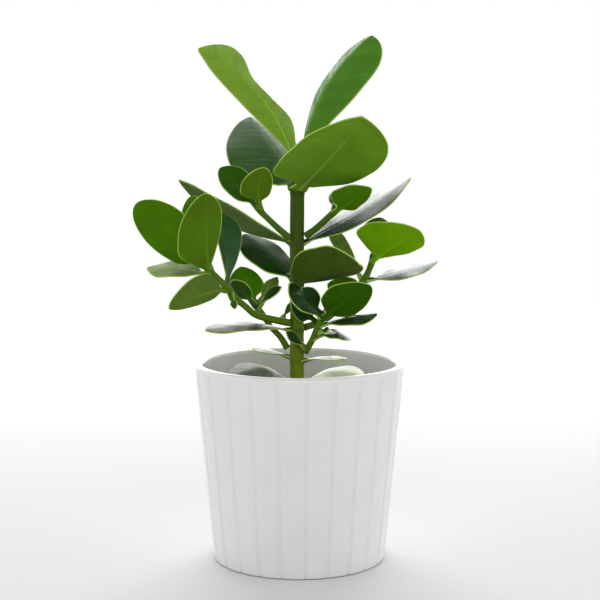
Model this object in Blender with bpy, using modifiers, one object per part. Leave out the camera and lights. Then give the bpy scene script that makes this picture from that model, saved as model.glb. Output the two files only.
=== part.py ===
"""Potted clusia: fluted pot, growing pot, medium, stem, side shoots and leaves.

Lengths in the tables are millimetres; objects are in metres, +Z up, the photo's side at -Y.
"""
import math

import bpy
import numpy as np
from mathutils import Matrix

MM = 0.001
GAP = 0.3
PETIOLE = 1.7
EDGE = 0.42
GROOVES = 24
GROOVE_TURN = 3.6
POT_TOP_R = 71.4
POT_FOOT_R = 58.9
WALL_TOP = 132.0
DRAIN_HOLES = 6

# Looks: colour, roughness, metallic.
GLAZE_LOOK = ((0.72, 0.72, 0.73), 0.16, 0.0)
PLASTIC_LOOK = ((0.03, 0.028, 0.026), 0.5, 0.0)
MEDIUM_LOOK = ((0.055, 0.034, 0.020), 0.95, 0.0)
STEM_LOOK = ((0.115, 0.160, 0.018), 0.55, 0.0)
SHOOT_LOOK = ((0.085, 0.170, 0.015), 0.5, 0.0)
LEAF_LOOKS = {
    "dark": ((0.020, 0.060, 0.016), 0.28, 0.0),
    "green": ((0.065, 0.160, 0.010), 0.32, 0.0),
    "young": ((0.200, 0.330, 0.060), 0.38, 0.0),
    "pale": ((0.330, 0.420, 0.200), 0.45, 0.0),
}
DARK_LEAVES = ("leaf_crown_back", "leaf_middle_back", "leaf_middle_front", "leaf_a_inner", "leaf_a_back",
               "leaf_e_back", "leaf_rim_left")
YOUNG_LEAVES = ("leaf_top_left", "leaf_a_front", "leaf_a_flat", "leaf_f_far", "leaf_c_right", "leaf_lower_front")
PALE_LEAVES = ("leaf_rim_right", "leaf_a_stub", "leaf_base_left", "leaf_base_right")

# Width of a half blade at six even stations from the stalk to the end, and where the end starts to round.
OUTLINES = {
    "obovate": ((0.16, 0.50, 0.80, 0.97, 1.0, 0.90), 0.68),
    "round": ((0.20, 0.78, 0.98, 1.0, 0.92, 0.80), 0.56),
    "egg": ((0.30, 0.94, 1.0, 0.92, 0.78, 0.62), 0.50),
    "spoon": ((0.56, 0.64, 0.60, 0.80, 1.0, 1.0), 0.74),
    "lance": ((0.14, 0.60, 0.90, 1.0, 0.86, 0.55), 0.55),
    "crest": ((0.30, 0.62, 0.37, 0.35, 0.86, 1.0), 0.86),
    "lobe": ((0.12, 0.86, 1.0, 0.92, 0.84, 0.60), 0.66),
    "wing": ((0.45, 0.88, 1.0, 0.97, 0.90, 0.70), 0.60),
}

# Shoot: points along its axis, radius at each point; the last two shape the end bud.
SHOOTS = {
    "main_stem": (
        ((-1.5, 0, 63.5), (-1.5, 0, 113.5), (-1.5, 0, 140.5), (-1.5, 0, 159.5), (-1.5, 0, 188.5), (-1.5, 0, 215.5),
         (-1.2, 0, 250.5), (-1, 0, 265.5), (-1, 0, 274.5), (-1, 0, 279.5)),
        (4.6, 4.7, 4.8, 4.7, 4.7, 4.8, 4.7, 3.6, 2.4, 0.5),
    ),
    "branch_low_left": (
        ((-8, 2.3, 143.7), (-13, 4, 151.5), (-20, 7, 158.5), (-25, 8, 166.5), (-29, 7, 171.5), (-30, 6.5, 175.5), (-30.5, 6, 178.5)),
        (2.4, 2.2, 2.1, 2.1, 2.3, 1.7, 0.4),
    ),
    "branch_low_right": (
        ((4.1, -4.2, 142.3), (9, -9, 151.5), (12, -13, 159.5), (15, -16, 166.5), (16, -15, 170), (16.5, -14, 172.5)),
        (2.3, 2.2, 2.2, 2.3, 1.4, 0.4),
    ),
    "branch_long_left": (
        ((-6.5, -2.8, 162), (-20, -8.5, 165.5), (-29.5, -14, 169), (-36, -18, 175), (-42.5, -22, 181), (-47, -25, 187.5),
         (-54, -28, 195), (-60, -30, 201.5), (-59.4, -28.6, 204.5), (-59, -27.5, 206.5)),
        (2.6, 2.5, 2.3, 2.2, 2.2, 2.5, 2.1, 2.3, 1.4, 0.4),
    ),
    "branch_long_right": (
        ((3.4, 2.9, 158.1), (18, 12, 162.5), (32, 16, 174.5), (44, 16, 188.5), (48, 15, 196.5), (50, 14, 202.5), (49.5, 14.6, 205.5),
         (49, 15, 207.5)),
        (2.5, 2.4, 2.2, 2.5, 2.1, 2.3, 1.4, 0.4),
    ),
    "branch_high_left": (
        ((-7, -4, 220), (-13, -8, 225.5), (-21, -14, 233.5), (-26.5, -18, 239.5), (-26.6, -17, 242.5), (-26.6, -16.4, 244.5)),
        (2.4, 2.2, 2.0, 2.2, 1.4, 0.4),
    ),
    "branch_high_right": (
        ((4.5, -3, 221), (10.5, -5, 225.5), (18, -9, 232.5), (23, -12, 237.5), (23, -11, 240.5), (23, -10.4, 242.5)),
        (2.6, 2.3, 2.2, 2.3, 1.4, 0.4),
    ),
}

# Leaf: shoot, node on its axis, end of the blade, way the upper side faces, half widths (left and
# right, seen on the upper side with the end up), arch, sway, fold and twist in degrees, outlines.
LEAVES = {
    "leaf_top_left": ("main_stem", (-1, 0, 269.5), (-68, 15, 347), (2, -3, 2), (15.5, 25), 3, 11, -12, 0,
                      ("lance", "crest")),
    "leaf_top_right": ("main_stem", (-1, 0, 269.5), (49, 10, 355), (-3, -3, 2), (14, 24.5), 2, -11, -20, 0,
                       ("obovate", "obovate")),
    "leaf_crown_front": ("main_stem", (-1, 0, 251.5), (38, -90, 299), (0, 1, 2), (30, 38), 4, -5, -18, 0,
                         ("round", "lobe")),
    "leaf_crown_back": ("main_stem", (-1, 0, 251.5), (-36, 85, 302), (1, -3, 5), (34, 30), 3, 0, -16, 0,
                        ("egg", "egg")),
    "leaf_upper_left": ("main_stem", (-1.5, 0, 213.5), (-84, 35, 258), (4, 4, 8), (20, 21), 2, 0, -20, 0,
                        ("lance", "lance")),
    "leaf_upper_right": ("main_stem", (-1.5, 0, 213.5), (76, 15, 259.5), (-2, -2.4, 4), (16, 17), -2, 0, -4, 14,
                         ("lance", "lance")),
    "leaf_middle_front": ("main_stem", (-6, -2, 187), (38, -64, 207), (0, 2, 1), (11, 20.5), 1, 0, 20, 0,
                          ("obovate", "wing")),
    "leaf_middle_back": ("main_stem", (-1.5, 0, 188.5), (-39, 45, 219), (1, -3, 4), (15, 14), 2, 0, -8, 0,
                         ("round", "round")),
    "leaf_lower_left": ("main_stem", (-1.5, 0, 156.8), (-62, -28, 160), (0, -2, 11), (11.5, 11.5), 3.4, 0, -4, 0,
                        ("obovate", "obovate")),
    "leaf_lower_front": ("branch_low_right", (5, -5, 144.5), (-9, -16, 157.5), (1, -2, 1), (4, 4), 1, 0, -8, 0,
                         ("lance", "lance")),
    "leaf_base_left": ("main_stem", (-1.5, 0, 137), (-32, 5, 143.5), (0, 0, 1), (9, 9), 1, 0, -6, 0,
                       ("obovate", "obovate")),
    "leaf_base_right": ("main_stem", (-1.5, 0, 135.5), (31, -20, 139.5), (0, 0, 1), (9, 9), 2, 0, -6, 0,
                        ("obovate", "obovate")),
    "leaf_rim_left": ("main_stem", (-1.5, 0, 119.5), (-46, -22, 127), (0, -1, 3), (16, 16), 8.5, 0, -10, 0,
                      ("obovate", "obovate")),
    "leaf_rim_right": ("main_stem", (-1.5, 0, 119.5), (44, -16, 126), (0, -1, 4), (16, 16), 7, 0, -10, 0,
                       ("obovate", "obovate")),
    "leaf_a_front": ("branch_long_left", (-47, -25, 187.5), (-83, -60, 178.5), (7, -7, 0.5), (6, 13), 6, 3, -8, 0,
                     ("round", "egg")),
    "leaf_a_inner": ("branch_long_left", (-47, -25, 187.5), (-54, -2, 236), (2, -3, 1), (7, 13), 2, 0, 20, 0,
                     ("obovate", "obovate")),
    "leaf_a_small": ("branch_long_left", (-46, -24.5, 186), (-42, -29, 174.5), (-1, -3, 0), (2.7, 2.7), 0, 0, -6, 0,
                     ("egg", "egg")),
    "leaf_a_outer": ("branch_long_left", (-60, -30, 201.5), (-108, -20, 243), (1, 4, 1), (15.5, 18), 2, -2.5, -8, 0,
                     ("round", "round")),
    "leaf_a_upright": ("branch_long_left", (-59.5, -33.8, 198.5), (-60, -46, 251), (-1, 4, 1), (10.5, 20), 2, 0, -12, 0,
                       ("obovate", "egg")),
    "leaf_a_back": ("branch_long_left", (-59, -25.5, 202.5), (-71, -13, 248.5), (0, -4, 1), (12, 9), 2, 0, -8, 0,
                    ("round", "round")),
    "leaf_a_flat": ("branch_long_left", (-57.5, -29.5, 197), (-101, -15, 200.5), (0, -1, 4), (17, 16), 2, 0, -3, 0,
                    ("lance", "lance")),
    "leaf_b_left": ("branch_low_left", (-29, 7, 171.5), (-45, -8, 191.5), (0, 2, 1), (6, 6), 1, 0, -8, 0,
                    ("round", "round")),
    "leaf_b_back": ("branch_low_left", (-29, 7, 171.5), (-41, 26, 197.5), (0, -3, 2), (12, 11), 1, 0, -8, 0,
                    ("round", "egg")),
    "leaf_b_right": ("branch_low_left", (-28.5, 6, 171), (-12, 3, 186), (-2, -3, 2), (4.5, 3.5), 1, -1, -8, 0,
                     ("lance", "lance")),
    "leaf_b_far": ("branch_low_left", (-29, 7, 173), (-15, 15, 191.5), (-2, -3, 2), (6, 6), 1, 0, -8, 0,
                   ("lance", "lance")),
    "leaf_a_stub": ("branch_long_left", (-13, -5.3, 162.9), (-4, 13, 175), (1, -1, 1), (2.4, 2.4), 0, 0, -6, 0,
                    ("lance", "lance")),
    "leaf_c_front": ("branch_low_right", (15, -16, 166.5), (-7, -38, 188.5), (2, -1, 1), (9, 11), 1, 0, -8, 0,
                     ("obovate", "obovate")),
    "leaf_c_middle": ("branch_low_right", (15.7, -15.3, 168.8), (-1, -15.8, 185.5), (0, -1, 0), (9, 9), 1, 0, -8, 0,
                      ("round", "round")),
    "leaf_c_left": ("branch_low_right", (13.3, -14.3, 162.5), (-5, -12, 178.5), (0, -1, 0), (7, 6.5), 1, 0, -6, 0,
                    ("egg", "round")),
    "leaf_c_right": ("branch_low_right", (15, -16, 166.5), (46, -40, 191.5), (0, 1, 1), (14, 18), 2, 0, -8, 0,
                     ("egg", "round")),
    "leaf_c_low": ("branch_low_right", (13, -14, 161.5), (53, 0, 167.8), (0, -1, 3), (10.5, 10), 1, 0, -10, 0,
                   ("lance", "lance")),
    "leaf_c_small": ("branch_low_right", (11, -12, 156.5), (20, -19, 159.5), (0, -1, 1), (3, 3), 0.5, 0, -6, 0,
                     ("lance", "lance")),
    "leaf_c_base": ("branch_low_right", (10, -10, 153.5), (35, -6, 151.5), (0, -1, 3), (8, 8), 3.5, 0, -5, 0,
                    ("round", "round")),
    "leaf_d_front": ("branch_high_right", (23.4, -13, 237.5), (47, -28, 254), (0, 1, 1), (8, 16), 1, 0, -8, 0,
                     ("egg", "egg")),
    "leaf_d_back": ("branch_high_right", (23, -12, 237.5), (24, 8, 250), (0, -2, 1), (4, 4), 1, 0, -8, 0,
                    ("round", "round")),
    "leaf_e_front": ("branch_high_left", (-26.5, -18, 239.5), (-23, -36, 267.5), (0, 3, 2), (9, 12), 1, 2, -10, 0,
                     ("round", "egg")),
    "leaf_e_back": ("branch_high_left", (-26.5, -18, 239.5), (-53, -6, 266.5), (0, -2, 1), (8, 12), 1, 0, -8, 0,
                    ("round", "round")),
    "leaf_f_far": ("branch_long_right", (44, 16, 188.5), (96, 25, 201.5), (-1, -1.6, 4), (13, 12.5), -1, 0, -3, 10,
                   ("lance", "lance")),
    "leaf_f_inner": ("branch_long_right", (44, 16, 188.5), (22, 43, 223), (0, -4, 3), (5, 6), 1, 0, -8, 0,
                     ("obovate", "obovate")),
    "leaf_f_low": ("branch_long_right", (32, 16, 174.5), (29, 0, 193.5), (0, 1, 1), (11, 11), 1, 0, -8, 0,
                   ("round", "round")),
    "leaf_f_front": ("branch_long_right", (50, 14, 202.5), (80, -12, 225.5), (0, 3, 2), (13, 29), 2, 0, -8, 0,
                     ("obovate", "egg")),
    "leaf_f_back": ("branch_long_right", (50, 14, 202.5), (57, 32, 231.5), (0, -2, 1), (11.5, 11), 1, 0, -8, 0,
                    ("round", "round")),
}


def unit(v):
    v = np.asarray(v, float)
    return v / np.linalg.norm(v)


def clearance(shoot, points):
    """Least distance from the points to the skin of a shoot, taken as a chain of tapered pieces."""
    axis, radii = SHOOTS[shoot]
    axis = np.array(axis, float)
    radii = np.array(radii)
    seg = np.diff(axis, axis=0)
    from_start = points[:, None, :] - axis[None, :-1, :]
    share = np.clip((from_start * seg).sum(2) / (seg * seg).sum(1), 0, 1)
    away = np.linalg.norm(from_start - seg * share[..., None], axis=2)
    return float((away - radii[:-1] - np.diff(radii) * share).min())


def leaf_frame(row, gap=GAP):
    """Start, end, side and face direction of a leaf whose stalk ends just short of its shoot."""
    shoot, node, end, face = row[:4]
    node = np.array(node, float)
    end = np.array(end, float)
    along = unit(end - node)
    up = np.array(face, float)
    up = unit(up - along * (up @ along))
    side = np.cross(along, up)
    turn = np.radians(np.arange(0, 360, 30))[:, None]
    ring = PETIOLE * (np.cos(turn) * side + np.sin(turn) * up)
    reach = 0.0
    while reach < 12 and clearance(shoot, node + along * reach + ring) < gap:
        reach += 0.1
    return node + along * reach, end, side, up


def half_width(u, width, outline):
    """Half width of the blade at u (0 at the stalk, 1 at the end): a smooth curve, rounded at the end."""
    knots, cap = OUTLINES[outline]
    knots = np.array(knots)
    x = np.clip(u, 0, 1) * (len(knots) - 1)
    i = np.minimum(x.astype(int), len(knots) - 2)
    f = x - i
    before = knots[np.maximum(i - 1, 0)]
    a, b = knots[i], knots[i + 1]
    after = knots[np.minimum(i + 2, len(knots) - 1)]
    smooth = 0.5 * (2 * a + (b - before) * f + (2 * before - 5 * a + 4 * b - after) * f * f
                    + (3 * a - before - 3 * b + after) * f ** 3)
    ending = np.clip((u - cap) / (1 - cap), 0, 1)
    return width * smooth * np.sqrt(np.clip(1 - ending ** 2.4, 0, 1))


def leaf_points(row, t, v):
    """Upper and lower faces of a leaf as grids of (side, along, up): round stalk, then flat blade.

    Across it v runs from -1 to 1. The midrib is straight from start to end plus arch and sway times
    a parabola; fold lifts both halves and twist turns the blade about the midrib towards its end.
    """
    start, end = leaf_frame(row)[:2]
    wide, arch, sway, fold, twist, outline = row[4:]
    t = np.asarray(t, float)[:, None]
    v = np.asarray(v, float)[None, :]
    length = np.linalg.norm(end - start)
    stalk = min(0.2, 3.0 / length)
    u = np.clip((t - stalk) / (1 - stalk), 0, 1)
    blade = np.clip((t - stalk * 0.5) / (stalk * 1.3), 0, 1)
    blade = blade * blade * (3 - 2 * blade)
    half = np.where(v < 0, half_width(u, wide[0], outline[0]), half_width(u, wide[1], outline[1]))
    half = np.maximum(half, 0.5)
    bow = 4 * t * (1 - t)
    slope = math.radians(fold)
    soft = np.sqrt(v * v + 0.01) - 0.1
    across = v * half * math.cos(slope)
    lift = half * soft * math.sin(slope)
    rib = np.exp(-((v * half) / 1.6) ** 2)
    body = EDGE + 0.16 * (1 - v * v)
    top = lift + body
    low = lift - body - rib * 0.9 * (1 - u)
    round_x = PETIOLE * np.sin(np.radians(72) * v)
    round_z = PETIOLE * np.cos(np.radians(72) * v)
    x = round_x + (across - round_x) * blade
    faces = []
    for z in (round_z + (top - round_z) * blade, -round_z + (low + round_z) * blade):
        turn = math.radians(twist) * u
        turned_x = x * np.cos(turn) - z * np.sin(turn) + sway * bow
        turned_z = x * np.sin(turn) + z * np.cos(turn) + arch * bow
        faces.append(np.stack([turned_x, length * t + 0 * x, turned_z], axis=-1))
    return faces


LEAF_T = (0.0, 0.07, 0.16, 0.28, 0.42, 0.56, 0.69, 0.8, 0.88, 0.94, 0.98, 1.0)
LEAF_V = (-1.0, -0.5, 0.0, 0.5, 1.0)


def leaf_look(name):
    if name in DARK_LEAVES:
        return LEAF_LOOKS["dark"]
    if name in YOUNG_LEAVES:
        return LEAF_LOOKS["young"]
    if name in PALE_LEAVES:
        return LEAF_LOOKS["pale"]
    return LEAF_LOOKS["green"]


def material(name, look):
    """Principled material from (colour, roughness, metallic)."""
    mat = bpy.data.materials.new(name)
    mat.use_nodes = True
    shader = mat.node_tree.nodes["Principled BSDF"]
    shader.inputs["Base Color"].default_value = (*look[0], 1)
    shader.inputs["Roughness"].default_value = look[1]
    shader.inputs["Metallic"].default_value = look[2]
    return mat


def collection(name):
    group = bpy.data.collections.get(name)
    if group is None:
        group = bpy.data.collections.new(name)
        bpy.context.scene.collection.children.link(group)
    return group


def add_object(name, data, look=None, group="potted_clusia"):
    """New object with a material of its own, in the named collection."""
    obj = bpy.data.objects.new(name, data)
    if look:
        data.materials.append(material(name + "_material", look))
    collection(group).objects.link(obj)
    return obj


def attach(obj, parent, parent_at, at):
    """Parents obj and puts its origin at a point given, like parent_at, in the pot's frame."""
    obj.parent = parent
    obj.location = [(a - b) * MM for a, b in zip(at, parent_at)]


def mesh_from(name, points, faces):
    mesh = bpy.data.meshes.new(name)
    mesh.from_pydata([tuple(p) for p in points], [], faces)
    mesh.update()
    return mesh


def leaf(name, row, parent):
    """Closed loft; both faces are cut into triangles alike, so its thickness stays even."""
    upper, lower = leaf_points(row, LEAF_T, LEAF_V)
    rows, cols = upper.shape[:2]
    points = np.concatenate([upper.reshape(-1, 3), lower.reshape(-1, 3)]) * MM
    base = rows * cols
    faces = []
    for i in range(rows - 1):
        for j in range(cols - 1):
            a, b = i * cols + j, i * cols + j + 1
            c, d = a + cols, b + cols
            if j < cols // 2:
                faces += [(a, b, d), (a, d, c), (base + b, base + a, base + d), (base + d, base + a, base + c)]
            else:
                faces += [(a, b, c), (b, d, c), (base + b, base + a, base + c), (base + d, base + b, base + c)]
        for j, flip in ((0, True), (cols - 1, False)):
            a, c = i * cols + j, (i + 1) * cols + j
            rim = [(a, base + a, base + c), (a, base + c, c)]
            if flip:
                rim = [(a, base + c, base + a), (a, c, base + c)]
            faces += rim
    for i, flip in ((0, False), (rows - 1, True)):
        ring = [i * cols + j for j in range(cols)] + [base + i * cols + j for j in reversed(range(cols))]
        faces.append(tuple(ring if flip else reversed(ring)))
    obj = add_object(name, mesh_from(name, points, faces), leaf_look(name))
    start, end, side, up = leaf_frame(row)
    obj.rotation_euler = Matrix((side, unit(end - start), up)).transposed().to_euler()
    attach(obj, parent, SHOOTS[row[0]][0][0], start)
    return obj


def shoot(name, points, radii, sides, parent, parent_at):
    """Round tube through the points, thicker at the nodes, with a small bud at its end."""
    curve = bpy.data.curves.new(name, "CURVE")
    curve.dimensions = "3D"
    curve.fill_mode = "FULL"
    curve.bevel_mode = "ROUND"
    curve.bevel_depth = MM
    curve.bevel_resolution = sides
    curve.resolution_u = 3
    curve.render_resolution_u = 0
    curve.use_fill_caps = True
    spline = curve.splines.new("BEZIER")
    spline.bezier_points.add(len(points) - 1)
    for knot, point, radius in zip(spline.bezier_points, points, radii):
        knot.co = [(c - c0) * MM for c, c0 in zip(point, points[0])]
        knot.radius = radius
        knot.handle_left_type = "AUTO"
        knot.handle_right_type = "AUTO"
    obj = add_object(name, curve, STEM_LOOK if name == "main_stem" else SHOOT_LOOK)
    attach(obj, parent, parent_at, points[0])
    return obj


def lathe(name, profile, steps, look, parent, at):
    """Solid of revolution of a closed profile of (radius, height) points above its own origin."""
    mesh = bpy.data.meshes.new(name)
    verts = [(r * MM, 0, (z - at[2]) * MM) for r, z in profile]
    mesh.from_pydata(verts, [(i, i + 1) for i in range(len(verts) - 1)], [])
    obj = add_object(name, mesh, look)
    attach(obj, parent, (0, 0, 0), at)
    screw = obj.modifiers.new("turn", "SCREW")
    screw.axis = "Z"
    screw.steps = steps
    screw.render_steps = steps
    screw.use_merge_vertices = True
    screw.merge_threshold = 0.00001
    screw.use_normal_calculate = True
    return obj


def cut(obj, cutter):
    boolean = obj.modifiers.new("cut_" + cutter.name, "BOOLEAN")
    boolean.operation = "DIFFERENCE"
    boolean.solver = "EXACT"
    boolean.object = cutter
    cutter.hide_render = True
    cutter.display_type = "WIRE"


def drill(name, radius, depth, at, vertices):
    """Cylinder that serves as a cutter."""
    bpy.ops.mesh.primitive_cylinder_add(
        vertices=vertices, radius=radius * MM, depth=depth * MM, location=[c * MM for c in at])
    obj = bpy.context.object
    obj.name = name
    for group in list(obj.users_collection):
        group.objects.unlink(obj)
    collection("cutters").objects.link(obj)
    return obj




def wall_radius(z):
    """Outer radius of the tapered wall."""
    return POT_FOOT_R + (POT_TOP_R - POT_FOOT_R) * z / WALL_TOP


def groove_cutters():
    """One mesh of narrow wedges that stand round the wall, each 0.9 mm deep and 2.7 mm wide."""
    points, faces = [], []
    for k in range(GROOVES):
        turn = math.radians(-90 + GROOVE_TURN + 360 / GROOVES * k)
        first = len(points)
        for z in (-2.0, WALL_TOP - 0.4):
            r = wall_radius(z)
            for out, half in ((-0.9, 0.0), (1.6, 3.75), (1.6, -3.75)):
                x = (r + out) * math.cos(turn) - half * math.sin(turn)
                y = (r + out) * math.sin(turn) + half * math.cos(turn)
                points.append((x * MM, y * MM, z * MM))
        a, b, c, d, e, f = range(first, first + 6)
        faces += [(a, b, c), (d, f, e), (a, d, e, b), (b, e, f, c), (c, f, d, a)]
    return add_object("groove_cutters", mesh_from("groove_cutters", points, faces), group="cutters")


def pot(root):
    profile = [
        (0, 0), (57.5, 0), (58.5, 0.4), (59.0, 1.4), (wall_radius(131.6), 131.6), (71.3, 133.2), (70.4, 134.5),
        (68.5, 135), (66.9, 134.6), (65.9, 133.5), (65.6, 132), (56.4, 12), (54.6, 8.2), (51, 6), (0, 6),
    ]
    obj = lathe("pot", profile, 96, GLAZE_LOOK, root, (0, 0, 0))
    cut(obj, groove_cutters())


def nursery_pot(root):
    profile = [
        (0, 6.3), (42.4, 6.3), (43.5, 7.3), (55.0, 103.5), (58.6, 103.5), (59.4, 104.5), (59.4, 108.5), (58.6, 109.5),
        (57.0, 109.5), (56.0, 108.5), (54.2, 103.5), (42.6, 9), (41.6, 8), (0, 8),
    ]
    obj = lathe("nursery_pot", profile, 48, PLASTIC_LOOK, root, (0, 0, 6.3))
    for k in range(DRAIN_HOLES):
        turn = math.radians(360 / DRAIN_HOLES * k)
        at = (30 * math.cos(turn), 30 * math.sin(turn), 7)
        cut(obj, drill("drain_hole_%d" % (k + 1), 4, 6, at, 12))


def growing_medium(root):
    profile = [(0, 8.4), (41.2, 8.4), (42.2, 9.4), (53.4, 100.5), (50, 102.1), (34, 101.5), (18, 102.3), (0, 101.9)]
    obj = lathe("growing_medium", profile, 48, MEDIUM_LOOK, root, (0, 0, 8.4))
    foot = SHOOTS["main_stem"][0][0]
    depth = 60.0
    at = (foot[0], foot[1], foot[2] - 0.4 + depth / 2)
    cut(obj, drill("stem_hole", 4.75 + GAP, depth, at, 32))


def plant(root):
    """Main stem on the root empty, side shoots on the stem, leaves on their shoots."""
    base = SHOOTS["main_stem"][0][0]
    stem = shoot("main_stem", *SHOOTS["main_stem"], 2, root, (0, 0, 0))
    shoots = {"main_stem": stem}
    for name, (points, radii) in SHOOTS.items():
        if name != "main_stem":
            shoots[name] = shoot(name, points, radii, 1, stem, base)
    for name, row in LEAVES.items():
        leaf(name, row, shoots[row[0]])


def main():
    for obj in list(bpy.data.objects):
        bpy.data.objects.remove(obj)
    root = add_object("potted_clusia_root", None)
    pot(root)
    nursery_pot(root)
    growing_medium(root)
    plant(root)


main()
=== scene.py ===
"""Potted clusia: finished leaves, stems, buds, glazed pot, growing pot and medium.

Lengths in the tables are millimetres in the pot's frame: +Z up, the photo's side at -Y.
"""
import math

import bpy
import numpy as np
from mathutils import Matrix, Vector

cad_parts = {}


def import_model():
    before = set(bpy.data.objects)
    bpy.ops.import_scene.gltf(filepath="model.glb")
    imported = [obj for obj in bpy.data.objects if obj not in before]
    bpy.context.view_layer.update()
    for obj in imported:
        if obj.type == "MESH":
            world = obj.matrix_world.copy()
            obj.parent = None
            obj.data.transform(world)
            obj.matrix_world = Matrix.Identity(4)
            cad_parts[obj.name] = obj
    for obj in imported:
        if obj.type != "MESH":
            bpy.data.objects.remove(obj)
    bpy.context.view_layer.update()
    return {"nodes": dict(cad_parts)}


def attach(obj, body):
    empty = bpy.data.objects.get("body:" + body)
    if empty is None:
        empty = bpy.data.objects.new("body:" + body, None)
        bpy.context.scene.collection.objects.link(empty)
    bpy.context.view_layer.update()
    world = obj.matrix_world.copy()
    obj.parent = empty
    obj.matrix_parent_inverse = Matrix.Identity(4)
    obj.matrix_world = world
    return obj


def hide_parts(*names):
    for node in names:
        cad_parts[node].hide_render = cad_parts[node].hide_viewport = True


MM = 0.001
GAP = 0.3
PETIOLE = 1.7
EDGE = 0.42

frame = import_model()

# Width of a half blade at six even stations from the stalk to the end, and where the end starts to round.
OUTLINES = {
    "obovate": ((0.16, 0.50, 0.80, 0.97, 1.0, 0.90), 0.68),
    "round": ((0.20, 0.78, 0.98, 1.0, 0.92, 0.80), 0.56),
    "egg": ((0.30, 0.94, 1.0, 0.92, 0.78, 0.62), 0.50),
    "spoon": ((0.56, 0.64, 0.60, 0.80, 1.0, 1.0), 0.74),
    "lance": ((0.14, 0.60, 0.90, 1.0, 0.86, 0.55), 0.55),
    "crest": ((0.30, 0.62, 0.37, 0.35, 0.86, 1.0), 0.86),
    "lobe": ((0.12, 0.86, 1.0, 0.92, 0.84, 0.60), 0.66),
    "wing": ((0.45, 0.88, 1.0, 0.97, 0.90, 0.70), 0.60),
}

# Shoot: points along its axis, radius at each point; the last two shape the end bud.
SHOOTS = {
    "main_stem": (
        ((-1.5, 0, 63.5), (-1.5, 0, 113.5), (-1.5, 0, 140.5), (-1.5, 0, 159.5), (-1.5, 0, 188.5), (-1.5, 0, 215.5),
         (-1.2, 0, 250.5), (-1, 0, 265.5), (-1, 0, 274.5), (-1, 0, 279.5)),
        (4.6, 4.7, 4.8, 4.7, 4.7, 4.8, 4.7, 3.6, 2.4, 0.5),
    ),
    "branch_low_left": (
        ((-8, 2.3, 143.7), (-13, 4, 151.5), (-20, 7, 158.5), (-25, 8, 166.5), (-29, 7, 171.5), (-30, 6.5, 175.5), (-30.5, 6, 178.5)),
        (2.4, 2.2, 2.1, 2.1, 2.3, 1.7, 0.4),
    ),
    "branch_low_right": (
        ((4.1, -4.2, 142.3), (9, -9, 151.5), (12, -13, 159.5), (15, -16, 166.5), (16, -15, 170), (16.5, -14, 172.5)),
        (2.3, 2.2, 2.2, 2.3, 1.4, 0.4),
    ),
    "branch_long_left": (
        ((-6.5, -2.8, 162), (-20, -8.5, 165.5), (-29.5, -14, 169), (-36, -18, 175), (-42.5, -22, 181), (-47, -25, 187.5),
         (-54, -28, 195), (-60, -30, 201.5), (-59.4, -28.6, 204.5), (-59, -27.5, 206.5)),
        (2.6, 2.5, 2.3, 2.2, 2.2, 2.5, 2.1, 2.3, 1.4, 0.4),
    ),
    "branch_long_right": (
        ((3.4, 2.9, 158.1), (18, 12, 162.5), (32, 16, 174.5), (44, 16, 188.5), (48, 15, 196.5), (50, 14, 202.5), (49.5, 14.6, 205.5),
         (49, 15, 207.5)),
        (2.5, 2.4, 2.2, 2.5, 2.1, 2.3, 1.4, 0.4),
    ),
    "branch_high_left": (
        ((-7, -4, 220), (-13, -8, 225.5), (-21, -14, 233.5), (-26.5, -18, 239.5), (-26.6, -17, 242.5), (-26.6, -16.4, 244.5)),
        (2.4, 2.2, 2.0, 2.2, 1.4, 0.4),
    ),
    "branch_high_right": (
        ((4.5, -3, 221), (10.5, -5, 225.5), (18, -9, 232.5), (23, -12, 237.5), (23, -11, 240.5), (23, -10.4, 242.5)),
        (2.6, 2.3, 2.2, 2.3, 1.4, 0.4),
    ),
}

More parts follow.
